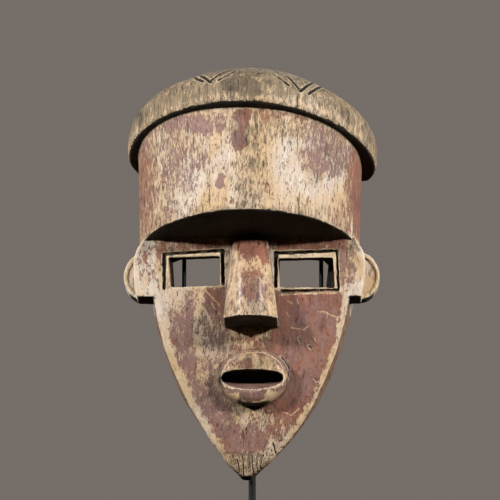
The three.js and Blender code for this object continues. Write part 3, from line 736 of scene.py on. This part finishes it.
def patch(across, down, left, top, right, bottom, softness):
    """1 within a rounded patch of the picture and 0 outside, with a soft border."""
    half_across, half_down = (right - left) / 2, (bottom - top) / 2
    aside = np.abs(across - left - half_across) / half_across
    along = np.abs(down - top - half_down) / half_down
    inward = (1.04 - (aside ** 3 + along ** 3) ** (1 / 3)) * min(half_across, half_down)
    return smooth_step(-softness, softness, inward)


def strongest(across, down, patches, plain=0.0):
    """The strongest that any of the patches is at each place, and no less than the plain value."""
    amount = np.full(len(across), float(plain))
    for left, top, right, bottom, softness, strength in patches:
        amount = np.maximum(amount, strength * patch(across, down, left, top, right, bottom, softness))
    return amount


def ragged_shift(places, seed):
    """How far a patch's border wanders, in units of the picture."""
    large = 2.4 * soft_noise(places, (12, 12, 16), seed)
    middle = 2.4 * soft_noise(places, (5, 5, 7), seed + 1)
    return large + middle + 1.2 * soft_noise(places, (2.2, 2.2, 3.2), seed + 2)


def paint(mesh, marks):
    """Gives every vertex its cover of each pigment, its dirt, wear and cut lines, and where shade is
    painted.
    """
    points = vertex_rows(mesh, "co")
    places = to_mask(points)
    normals = mask_normals(mesh)
    parts = parts_of(places, normals)
    across, down = seen_at(points)
    across = across + ragged_shift(places, 31)
    down = down + 1.5 * ragged_shift(places, 35)
    borders = cream_borders(places, parts)
    ring = muzzle_rim(points) * parts["muzzle"]
    for pigment, by_part in PIGMENTS.items():
        cover = np.zeros(len(places))
        for part, plain in zip(PARTS, PLAIN_COVER[pigment]):
            cover += parts[part] * strongest(across, down, by_part.get(part, ()), plain)
        if pigment == "cream":
            cover = np.maximum(cover, borders)
        elif pigment != "pale":
            cover *= 1 - BORDER_CLEARS * borders
        if pigment in ("red", "purple"):
            cover = np.maximum(cover, MUZZLE_RIM_COVER * ring)
        store(mesh, pigment, cover)
    store(mesh, "inside", parts["inside"])
    # The painted shade on the undersides, on the walls of the eye openings and within the mouth
    store(mesh, "shade", painted_shade(places, normals, parts))
    for name, patches in (("polish", POLISHED), ("crackle", CRACKLED)):
        store(mesh, name, strongest(across, down, patches) * (1 - parts["inside"]))
    # Less of the crease darkening, dirt and painted shade, on the ears
    marks["crease_dirt_and_shade"] = marks["crease_dirt_and_shade"] * (1 - 0.8 * parts["ears"])
    for name, values in marks.items():
        store(mesh, name, values)


def build_mask():
    skin = mask_skin()
    marks = sculpt(skin)
    for name, values in marks.items():
        store(skin.data, name, values)
    thin_out(skin, marks)
    kept = {name: read(skin.data, name) for name in marks}
    paint(skin.data, kept)
    skin.data.shade_smooth()
    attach(skin, "root")
    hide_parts("mask")
    return skin


# The stand, in metres

FOOT_SIZE = 0.140
FOOT_THICKNESS = 0.008
FOOT_CORNER = 0.005
FOOT_EDGE = 0.001
POST_RADIUS = 0.0027
POST_CENTRE = 0.00035
POST_SETBACK = 0.0215
FORK_RADIUS = 0.0016
FORK_BAR_HEIGHT = 0.218
FORK_CENTRE = 0.0007
FORK_HALF_WIDTH = 0.052
FORK_BEND = 0.009
FORK_TIPS = (0.3716, 0.3659)
# How far from its end a bar begins to narrow, and to what share of its thickness
BAR_END = 0.0004
BAR_END_SHARE = 0.8


def closed_mesh(name, rings):
    """A closed mesh over rings of points with equal counts, capped at both ends."""
    count = len(rings[0])
    faces = [tuple(reversed(range(count)))]
    for i in range(len(rings) - 1):
        for j in range(count):
            low = i * count + j
            beside = i * count + (j + 1) % count
            faces.append((low, beside, beside + count, low + count))
    last = (len(rings) - 1) * count
    faces.append(tuple(range(last, last + count)))
    mesh = bpy.data.meshes.new(name)
    mesh.from_pydata([tuple(point) for ring in rings for point in ring], [], faces)
    mesh.validate()
    shape = bmesh.new()
    shape.from_mesh(mesh)
    bmesh.ops.recalc_face_normals(shape, faces=shape.faces)
    shape.to_mesh(mesh)
    shape.free()
    return mesh


def stand_piece(name, rings, node):
    """A piece of the stand over rings of points, in place of one of the frame's nodes."""
    piece = link(bpy.data.objects.new(name, closed_mesh(name, rings)))
    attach(piece, "root")
    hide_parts(node)
    return piece


def quarter_turns(steps):
    """Even turns over a quarter of a circle."""
    return [math.pi / 2 * i / steps for i in range(steps + 1)]


def foot_ring(inset, height):
    """The foot plate's outline, drawn in by some distance."""
    radius = FOOT_CORNER - inset
    middle = FOOT_SIZE / 2 - FOOT_CORNER
    points = []
    for quarter, (side_x, side_y) in enumerate(((1, 1), (-1, 1), (-1, -1), (1, -1))):
        for turn in quarter_turns(10):
            turn += math.pi / 2 * quarter
            x = side_x * middle + radius * math.cos(turn)
            points.append((x, side_y * middle + radius * math.sin(turn), height))
    return points


def build_foot():
    low, high = [], []
    for turn in quarter_turns(4):
        inset, rise = FOOT_EDGE * (1 - math.sin(turn)), FOOT_EDGE * (1 - math.cos(turn))
        low.append(foot_ring(inset, rise))
        high.append(foot_ring(inset, FOOT_THICKNESS - rise))
    return stand_piece("stand_foot_plate", low + high[::-1], "stand_foot")


def round_bar(name, route, radius, sides, node):
    """A round bar along a route that lies in one upright plane, with softened ends."""
    rings = []
    across = Vector((0, 1, 0))
    last = len(route) - 1
    for i, middle in enumerate(route):
        run = (route[min(i + 1, last)] - route[max(i - 1, 0)]).normalized()
        side = run.cross(across)
        reach = BAR_END_SHARE * radius if i in (0, last) else radius
        turns = [2 * math.pi * j / sides for j in range(sides)]
        rings.append([middle + reach * (math.cos(turn) * across + math.sin(turn) * side) for turn in turns])
    piece = stand_piece(name, rings, node)
    for face in piece.data.polygons:
        face.use_smooth = len(face.vertices) == 4
    return piece


def build_post():
    foot, top = FOOT_THICKNESS, FORK_BAR_HEIGHT - FORK_RADIUS
    heights = [foot, foot + 0.0003, 0.04, 0.08, 0.12, 0.16, 0.2, top - BAR_END, top]
    route = [Vector((POST_CENTRE, POST_SETBACK, height)) for height in heights]
    return round_bar("stand_post_rod", route, POST_RADIUS, 40, "stand_post")


def build_fork():
    sides = []
    for side, tip in zip((-1, 1), FORK_TIPS):
        upright = [(side * FORK_HALF_WIDTH, height) for height in (tip, tip - BAR_END, 0.33, 0.29, 0.25)]
        for turn in quarter_turns(12):
            inward = FORK_BEND * (1 - math.cos(turn))
            height = FORK_BAR_HEIGHT + FORK_BEND * (1 - math.sin(turn))
            upright.append((side * (FORK_HALF_WIDTH - inward), height))
        sides.append(upright)
    route = sides[0] + [(0, FORK_BAR_HEIGHT)] + sides[1][::-1]
    places = [Vector((FORK_CENTRE + x, POST_SETBACK, height)) for x, height in route]
    return round_bar("stand_fork_rod", places, FORK_RADIUS, 24, "stand_fork")


# Materials

def colour(red, green, blue):
    """A colour given as it looks, 0 to 255, as the linear values that the shader wants."""
    def linear(value):
        value /= 255
        return value / 12.92 if value <= 0.04045 else ((value + 0.055) / 1.055) ** 2.4
    return (linear(red), linear(green), linear(blue), 1)


CREAM_PALE = colour(216, 198, 180)
CREAM_WARM = colour(207, 173, 130)
WOOD_PALE = colour(164, 142, 110)
WOOD_GREY = colour(110, 93, 70)
RED_WARM = colour(153, 99, 75)
RED_DEEP = colour(126, 80, 64)
PURPLE_GREY = colour(140, 106, 97)
# Soot also tints the creases, as dirt and painted shade, and the flake rims, as a painted shadow
SOOT = colour(66, 54, 40)
EDGE_PALE = colour(224, 200, 164)
CUT_DARK = colour(28, 19, 12)
# Near black for the painted shade on the undersides, the eye walls and within the mouth
SHADE_DARK = colour(24, 16, 10)
HOLLOW_WOOD = colour(48, 35, 25)
HOLLOW_DARK = colour(24, 17, 12)
STEEL_DARK = colour(13, 12, 12)
STEEL_LIGHT = colour(19, 18, 17)
PAPER_SHADE = colour(200, 196, 190)
PAPER_LIGHT = colour(208, 204, 198)


def new_material(name):
    """A material, its node tree and its shader."""
    material = bpy.data.materials.new(name)
    material.use_nodes = True
    tree = material.node_tree
    return material, tree, tree.nodes["Principled BSDF"]


def new_group(name, inputs, outputs):
    """An empty node group with the sockets given, each a name and a kind."""
    tree = bpy.data.node_groups.new(name, "ShaderNodeTree")
    for socket, kind in inputs:
        tree.interface.new_socket(socket, in_out="INPUT", socket_type="NodeSocket" + kind)
    for socket, kind in outputs:
        tree.interface.new_socket(socket, in_out="OUTPUT", socket_type="NodeSocket" + kind)
    return tree, tree.nodes.new("NodeGroupInput"), tree.nodes.new("NodeGroupOutput")


def feed(tree, socket, value):
    """Sets a socket to a value, or links it to another socket."""
    if isinstance(value, bpy.types.NodeSocket):
        tree.links.new(value, socket)
    else:
        socket.default_value = value


def feed_all(tree, made, **inputs):
    """Sets or links a node's inputs by name."""
    for name, value in inputs.items():
        feed(tree, made.inputs[name.replace("_", " ")], value)
    return made


def node(tree, kind, settings=None, **inputs):
    """A new node with its settings, and its inputs by name."""
    made = tree.nodes.new("ShaderNode" + kind)
    for name, value in (settings or {}).items():
        setattr(made, name, value)
    return feed_all(tree, made, **inputs)


def maths(tree, operation, first, second=0.0, third=0.0, clamp=False):
    made = tree.nodes.new("ShaderNodeMath")
    made.operation = operation
    made.use_clamp = clamp
    for socket, value in zip(made.inputs, (first, second, third)):
        feed(tree, socket, value)
    return made.outputs[0]


def blended(tree, share, first, second):
    """A colour blended from one to another by a share."""
    made = tree.nodes.new("ShaderNodeMix")
    made.data_type = "RGBA"
    feed(tree, made.inputs["Factor"], share)
    feed(tree, made.inputs[6], first)
    feed(tree, made.inputs[7], second)
    return made.outputs[2]


def ranged(tree, value, low, high, to_low=0.0, to_high=1.0):
    made = node(tree, "MapRange", {"interpolation_type": "SMOOTHSTEP"}, From_Min=low, From_Max=high,
                To_Min=to_low, To_Max=to_high)
    feed(tree, made.inputs["Value"], value)
    return made.outputs["Result"]


def stretched_noise(tree, place, scale, stretch, detail=5.0, roughness=0.6):
    """Noise whose lumps are drawn out upward by a stretch under 1."""
    factors = node(tree, "CombineXYZ", X=1.0, Y=1.0, Z=stretch)
    scaled = node(tree, "VectorMath", {"operation": "MULTIPLY"})
    feed(tree, scaled.inputs[0], place)
    feed(tree, scaled.inputs[1], factors.outputs[0])
    made = node(tree, "TexNoise", Vector=scaled.outputs[0], Scale=scale, Detail=detail, Roughness=roughness)
    return made.outputs["Fac"]


def flakes_group():
    """Where a worn layer still lies, from how much of it is left, and the rims of its ragged patches."""
    inputs = (("Place", "Vector"), ("Cover", "Float"), ("Scale", "Float"), ("Stretch", "Float"),
              ("Raggedness", "Float"), ("Softness", "Float"))
    tree, given, result = new_group("worn_flakes", inputs, (("Mask", "Float"), ("Rim", "Float")))
    place, stretch = given.outputs["Place"], given.outputs["Stretch"]
    broad = stretched_noise(tree, place, given.outputs["Scale"], stretch, 3.0, 0.6)
    finer = maths(tree, "MULTIPLY", given.outputs["Scale"], 3.3)
    fine = stretched_noise(tree, place, finer, maths(tree, "MULTIPLY", stretch, 0.6), 4.0, 0.75)
    fine = maths(tree, "SUBTRACT", fine, 0.5)
    both = maths(tree, "MULTIPLY_ADD", fine, 1.35, maths(tree, "SUBTRACT", broad, 0.5))
    level = maths(tree, "MULTIPLY_ADD", both, given.outputs["Raggedness"], given.outputs["Cover"])
    low = maths(tree, "SUBTRACT", 0.5, given.outputs["Softness"])
    high = maths(tree, "ADD", 0.5, given.outputs["Softness"])
    tree.links.new(ranged(tree, level, low, high), result.inputs["Mask"])
    away = maths(tree, "ABSOLUTE", maths(tree, "SUBTRACT", level, 0.46))
    tree.links.new(ranged(tree, away, 0.0, 0.09, 1.0, 0.0), result.inputs["Rim"])
    return tree


def fibre_group():
    """Upright wood fibres, fine and coarse together."""
    outputs = (("Fibre", "Float"), ("Coarse", "Float"))
    tree, given, result = new_group("wood_fibre", (("Place", "Vector"),), outputs)
    fine = stretched_noise(tree, given.outputs["Place"], 1100.0, 0.06, 3.0, 0.6)
    coarse = stretched_noise(tree, given.outputs["Place"], 320.0, 0.08, 4.0, 0.6)
    both = maths(tree, "MULTIPLY_ADD", fine, 0.5, maths(tree, "MULTIPLY", coarse, 0.5))
    tree.links.new(ranged(tree, both, 0.34, 0.66), result.inputs["Fibre"])
    tree.links.new(ranged(tree, coarse, 0.36, 0.64), result.inputs["Coarse"])
    return tree


def mottle_group():
    """Soft clouds of lighter and darker tone."""
    inputs = (("Place", "Vector"), ("Scale", "Float"), ("Stretch", "Float"))
    tree, given, result = new_group("mottle", inputs, (("Tone", "Float"),))
    place, scale, stretch = (given.outputs[name] for name in ("Place", "Scale", "Stretch"))
    noise = stretched_noise(tree, place, scale, stretch, 4.0, 0.55)
    tree.links.new(ranged(tree, noise, 0.33, 0.67), result.inputs["Tone"])
    return tree


def use_group(tree, group, **inputs):
    return node(tree, "Group", {"node_tree": group}, **inputs)


def cloud_tone(tree, mottle, place, scale, stretch=1.0):
    return use_group(tree, mottle, Place=place, Scale=scale, Stretch=stretch).outputs["Tone"]


def mark(tree, name):
    """A value kept on the vertices."""
    return node(tree, "Attribute", {"attribute_name": name}).outputs["Fac"]


def place_on_mask(tree):
    """The place on the surface, turned so that up runs along the mask's grain."""
    coordinates = node(tree, "TexCoord")
    turned = node(tree, "Mapping", Vector=coordinates.outputs["Object"], Rotation=(LEAN, 0, 0))
    return turned.outputs[0]


class WoodPaint:
    """The worn layers on the carved wood, laid one over another in its material's node tree."""

    def __init__(self, tree, flakes, fibre, mottle):
        self.tree, self.flakes, self.mottle = tree, flakes, mottle
        self.place = place_on_mask(tree)
        self.grain = use_group(tree, fibre, Place=self.place).outputs
        self.bare, self.polish, self.red = (mark(tree, name) for name in ("bare", "polish", "red"))

    def layer(self, cover, scale, stretch, raggedness, softness=0.05):
        """Where a ragged layer lies, by how much of it is left, and its rims."""
        made = use_group(self.tree, self.flakes, Place=self.place, Cover=cover, Scale=scale,
                         Stretch=stretch, Raggedness=raggedness, Softness=softness)
        return made.outputs["Mask"], made.outputs["Rim"]

    def mark_layer(self, name, *shape):
        """Where a layer lies whose cover is kept on the vertices."""
        return self.layer(mark(self.tree, name), *shape)[0]

    def clouds(self, scale, stretch=1.0):
        return cloud_tone(self.tree, self.mottle, self.place, scale, stretch)

    def share_of(self, value, share):
        return maths(self.tree, "MULTIPLY", value, share)

    def plus(self, value, share, base):
        """A share of a value, added to a base."""
        return maths(self.tree, "MULTIPLY_ADD", value, share, base)

    def over(self, below, value, share, tint):
        """What is below, with a tint laid over it by a share of a value."""
        return blended(self.tree, self.share_of(value, share), below, tint)

    def clay(self):
        """Cream clay on the bare wood, where the clay lies, and its rims, where a painted shadow is laid."""
        tree = self.tree
        wood = blended(tree, self.grain["Fibre"], WOOD_GREY, WOOD_PALE)
        chalk = maths(tree, "MULTIPLY", self.clouds(45.0, 0.6), mark(tree, "pale"), clamp=True)
        clay = self.over(blended(tree, chalk, CREAM_WARM, CREAM_PALE), self.grain["Coarse"], 0.3, WOOD_PALE)
        left = self.plus(self.bare, -0.6, maths(tree, "ADD", mark(tree, "cream"), 0.08))
        cover, rim = self.layer(left, 330.0, 0.32, 1.7, 0.12)
        return blended(tree, cover, wood, clay), cover, rim

    def red_brown(self, below):
        """Red-brown pigment, soaked in and flaking, on what is below, where it lies, and its rims, where a
        painted shadow is laid.
        """
        tree = self.tree
        red = blended(tree, self.clouds(120.0, 0.4), RED_DEEP, RED_WARM)
        red = self.over(red, self.mark_layer("purple", 110.0, 0.5, 1.4, 0.3), 0.85, PURPLE_GREY)
        stain, _ = self.layer(self.red, 150.0, 0.4, 1.0, 0.35)
        soaked = maths(tree, "MULTIPLY", stain, self.plus(self.polish, 0.5, 0.3))
        cover, rim = self.layer(self.red, 350.0, 0.45, 1.7, 0.07)
        return blended(tree, cover, blended(tree, soaked, below, red), red), cover, rim

    def pits(self):
        """Small pits, more of them in the dirt."""
        dirty = self.plus(mark(self.tree, "soot"), 0.14, 0.06)
        return self.layer(self.plus(self.clouds(45.0), 0.12, dirty), 520.0, 0.4, 1.35, 0.05)[0]

    def splits(self):
        """Thin drying splits along the grain, more of them in bare wood."""
        return self.layer(self.plus(self.bare, 0.18, 0.11), 260.0, 0.05, 1.6, 0.08)[0]

    def cuts(self, painted):
        """Dark cut lines with pale lips, and pale scores."""
        tree, line = self.tree, mark(self.tree, "line")
        off_lip = maths(tree, "ABSOLUTE", self.plus(line, 4.0, -1.1))
        painted = self.over(painted, maths(tree, "SUBTRACT", 1.0, off_lip, clamp=True), 0.6, EDGE_PALE)
        keen = maths(tree, "SUBTRACT", self.share_of(line, 1.3), self.share_of(self.clouds(80.0), 0.28))
        painted = self.over(painted, self.layer(keen, 420.0, 0.8, 1.1, 0.14)[0], 0.95, CUT_DARK)
        return self.over(painted, self.mark_layer("score", 600.0, 1.0, 1.2, 0.12), 0.85, CREAM_WARM)

    def hollow_wood(self):
        """Plain dark wood in the hollows and on the back rim."""
        raw = blended(self.tree, self.grain["Coarse"], HOLLOW_DARK, HOLLOW_WOOD)
        return self.over(raw, self.clouds(60.0), 0.5, HOLLOW_DARK)

    def relief(self, covers):
        """The paint's thickness, the pits and splits in it, the wood's fibres and the crackle."""
        height = self.share_of(self.grain["Fibre"], 0.4)
        for cover, rise in covers:
            height = self.plus(cover, rise, height)
        crumbs = stretched_noise(self.tree, self.place, 900.0, 0.7, 3.0, 0.7)
        crackle = maths(self.tree, "MULTIPLY", crumbs, mark(self.tree, "crackle"))
        return self.plus(crackle, 2.6, height)


def wood_finish(flakes, fibre, mottle):
    """Carved wood under worn cream clay and red-brown pigment."""
    material, tree, shader = new_material("painted_wood")
    paint = WoodPaint(tree, flakes, fibre, mottle)
    painted, clay_cover, clay_rim_shadow = paint.clay()
    painted, red_cover, red_rim_shadow = paint.red_brown(painted)
    pits, splits = paint.pits(), paint.splits()
    worn, _ = paint.layer(paint.share_of(mark(tree, "edge"), 0.82), 330.0, 0.5, 1.3, 0.12)
    # Laid in turn: a painted shadow along the rims of the red-brown and clay flakes, soot, pits, pale worn
    # edges and dark splits
    for value, share, tint in ((red_rim_shadow, 0.22, SOOT), (clay_rim_shadow, 0.14, SOOT),
                               (paint.mark_layer("soot", 120.0, 0.5, 1.3, 0.35), 0.62, SOOT),
                               (pits, 0.7, SOOT), (worn, 0.8, EDGE_PALE), (splits, 0.8, CUT_DARK),
                               # The creases and recesses darkened: dirt there, and painted shade
                               (mark(tree, "crease_dirt_and_shade"), 0.5, SOOT)):
        painted = paint.over(painted, value, share, tint)
    painted = paint.cuts(painted)
    # Painted shade: the undersides, the walls of the eye openings and within the mouth darkened to near
    # black
    painted = paint.over(painted, paint.mark_layer("shade", 300.0, 1.0, 0.5, 0.2), 0.96, SHADE_DARK)
    finish = blended(tree, mark(tree, "inside"), painted, paint.hollow_wood())
    satin = maths(tree, "MAXIMUM", paint.share_of(red_cover, 0.5), paint.polish)
    relief = paint.relief(((pits, -0.9), (splits, -1.0), (red_cover, 0.4), (clay_cover, 0.4)))
    bump = node(tree, "Bump", Strength=0.9, Distance=0.0006, Height=relief)
    feed_all(tree, shader, Base_Color=finish, Roughness=ranged(tree, satin, 0.0, 1.0, 0.8, 0.32),
             Coat_Weight=paint.share_of(paint.polish, 0.6), Coat_Roughness=0.24,
             Specular_IOR_Level=0.3, Normal=bump.outputs["Normal"])
    return material


def steel_finish(mottle):
    """Satin black paint on steel, with faint clouds in its sheen."""
    material, tree, shader = new_material("black_steel")
    place = node(tree, "TexCoord").outputs["Object"]
    tone = cloud_tone(tree, mottle, place, 220.0)
    fine = cloud_tone(tree, mottle, place, 2500.0)
    bump = node(tree, "Bump", Strength=0.25, Distance=0.00008, Height=fine)
    feed_all(tree, shader, Base_Color=blended(tree, tone, STEEL_DARK, STEEL_LIGHT),
             Roughness=ranged(tree, tone, 0.0, 1.0, 0.5, 0.58), Specular_IOR_Level=0.2,
             Normal=bump.outputs["Normal"])
    return material


def floor_finish(mottle):
    """Pale matt paper."""
    material, tree, shader = new_material("floor_paper")
    tone = cloud_tone(tree, mottle, node(tree, "TexCoord").outputs["Object"], 9.0)
    feed_all(tree, shader, Base_Color=blended(tree, tone, PAPER_SHADE, PAPER_LIGHT), Roughness=0.9)
    return material


# Light and surroundings

# The floor's rings from its underside up: radius and height
FLOOR_RINGS = ((0.62, -0.02), (0.62, -0.004), (0.6, 0.0), (0.3, 0.0))
FLOOR_SIDES = 96
LIGHT_DISTANCE = 1.5
# The colour behind the object, and how much of it lights the object
BACKGROUND = (0.18, 0.155, 0.138, 1)
DIM_SHARE = 0.04


def softbox(name, turn, rise, size, power):
    """A soft rectangular light at a turn from the front and a rise over the middle, in degrees."""
    data = bpy.data.lights.new(name, "AREA")
    data.shape = "RECTANGLE"
    data.size, data.size_y = size
    data.energy = power
    lamp = link(bpy.data.objects.new(name, data))
    away = outward(math.radians(turn), math.radians(rise))
    lamp.location = VIEW_CENTRE + away * LIGHT_DISTANCE
    lamp.rotation_euler = (-away).to_track_quat("-Z", "Y").to_euler()
    return lamp


def make_lights():
    for side in (-1, 1):
        softbox("light_front", side * 41, 18.5, (0.2, 0.1), 19.3)
        softbox("light_side", side * 97, 10, (0.3, 0.3), 13)
        sheen = softbox("light_sheen", side * 50, 46, (0.45, 0.45), 22)
        sheen.visible_diffuse = False
    softbox("light_back", 180, 28, (0.6, 0.6), 6)


def make_world():
    """A warm grey behind the object and only a dim light from all round."""
    world = bpy.data.worlds.new("studio")
    world.use_nodes = True
    tree = world.node_tree
    behind = node(tree, "LightPath").outputs["Is Camera Ray"]
    strength = node(tree, "MapRange", Value=behind, To_Min=DIM_SHARE, To_Max=1.0)
    feed_all(tree, tree.nodes["Background"], Color=BACKGROUND, Strength=strength.outputs["Result"])
    bpy.context.scene.world = world


def make_floor(finish):
    """A pale round floor under the foot."""
    turns = [2 * math.pi * i / FLOOR_SIDES for i in range(FLOOR_SIDES)]
    rings = []
    for radius, height in FLOOR_RINGS:
        rings.append([(radius * math.cos(turn), radius * math.sin(turn), height) for turn in turns])
    floor = link(bpy.data.objects.new("floor", closed_mesh("floor", rings)))
    floor.data.materials.append(finish)
    floor.visible_diffuse = False
    floor.visible_glossy = False


def main():
    make_camera()
    mottle = mottle_group()
    mask = build_mask()
    mask.data.materials.clear()
    mask.data.materials.append(wood_finish(flakes_group(), fibre_group(), mottle))
    steel = steel_finish(mottle)
    for piece in (build_foot(), build_post(), build_fork()):
        piece.data.materials.append(steel)
    make_lights()
    make_world()
    make_floor(floor_finish(mottle))
    scene = bpy.context.scene
    scene.view_settings.view_transform = "Standard"


main()
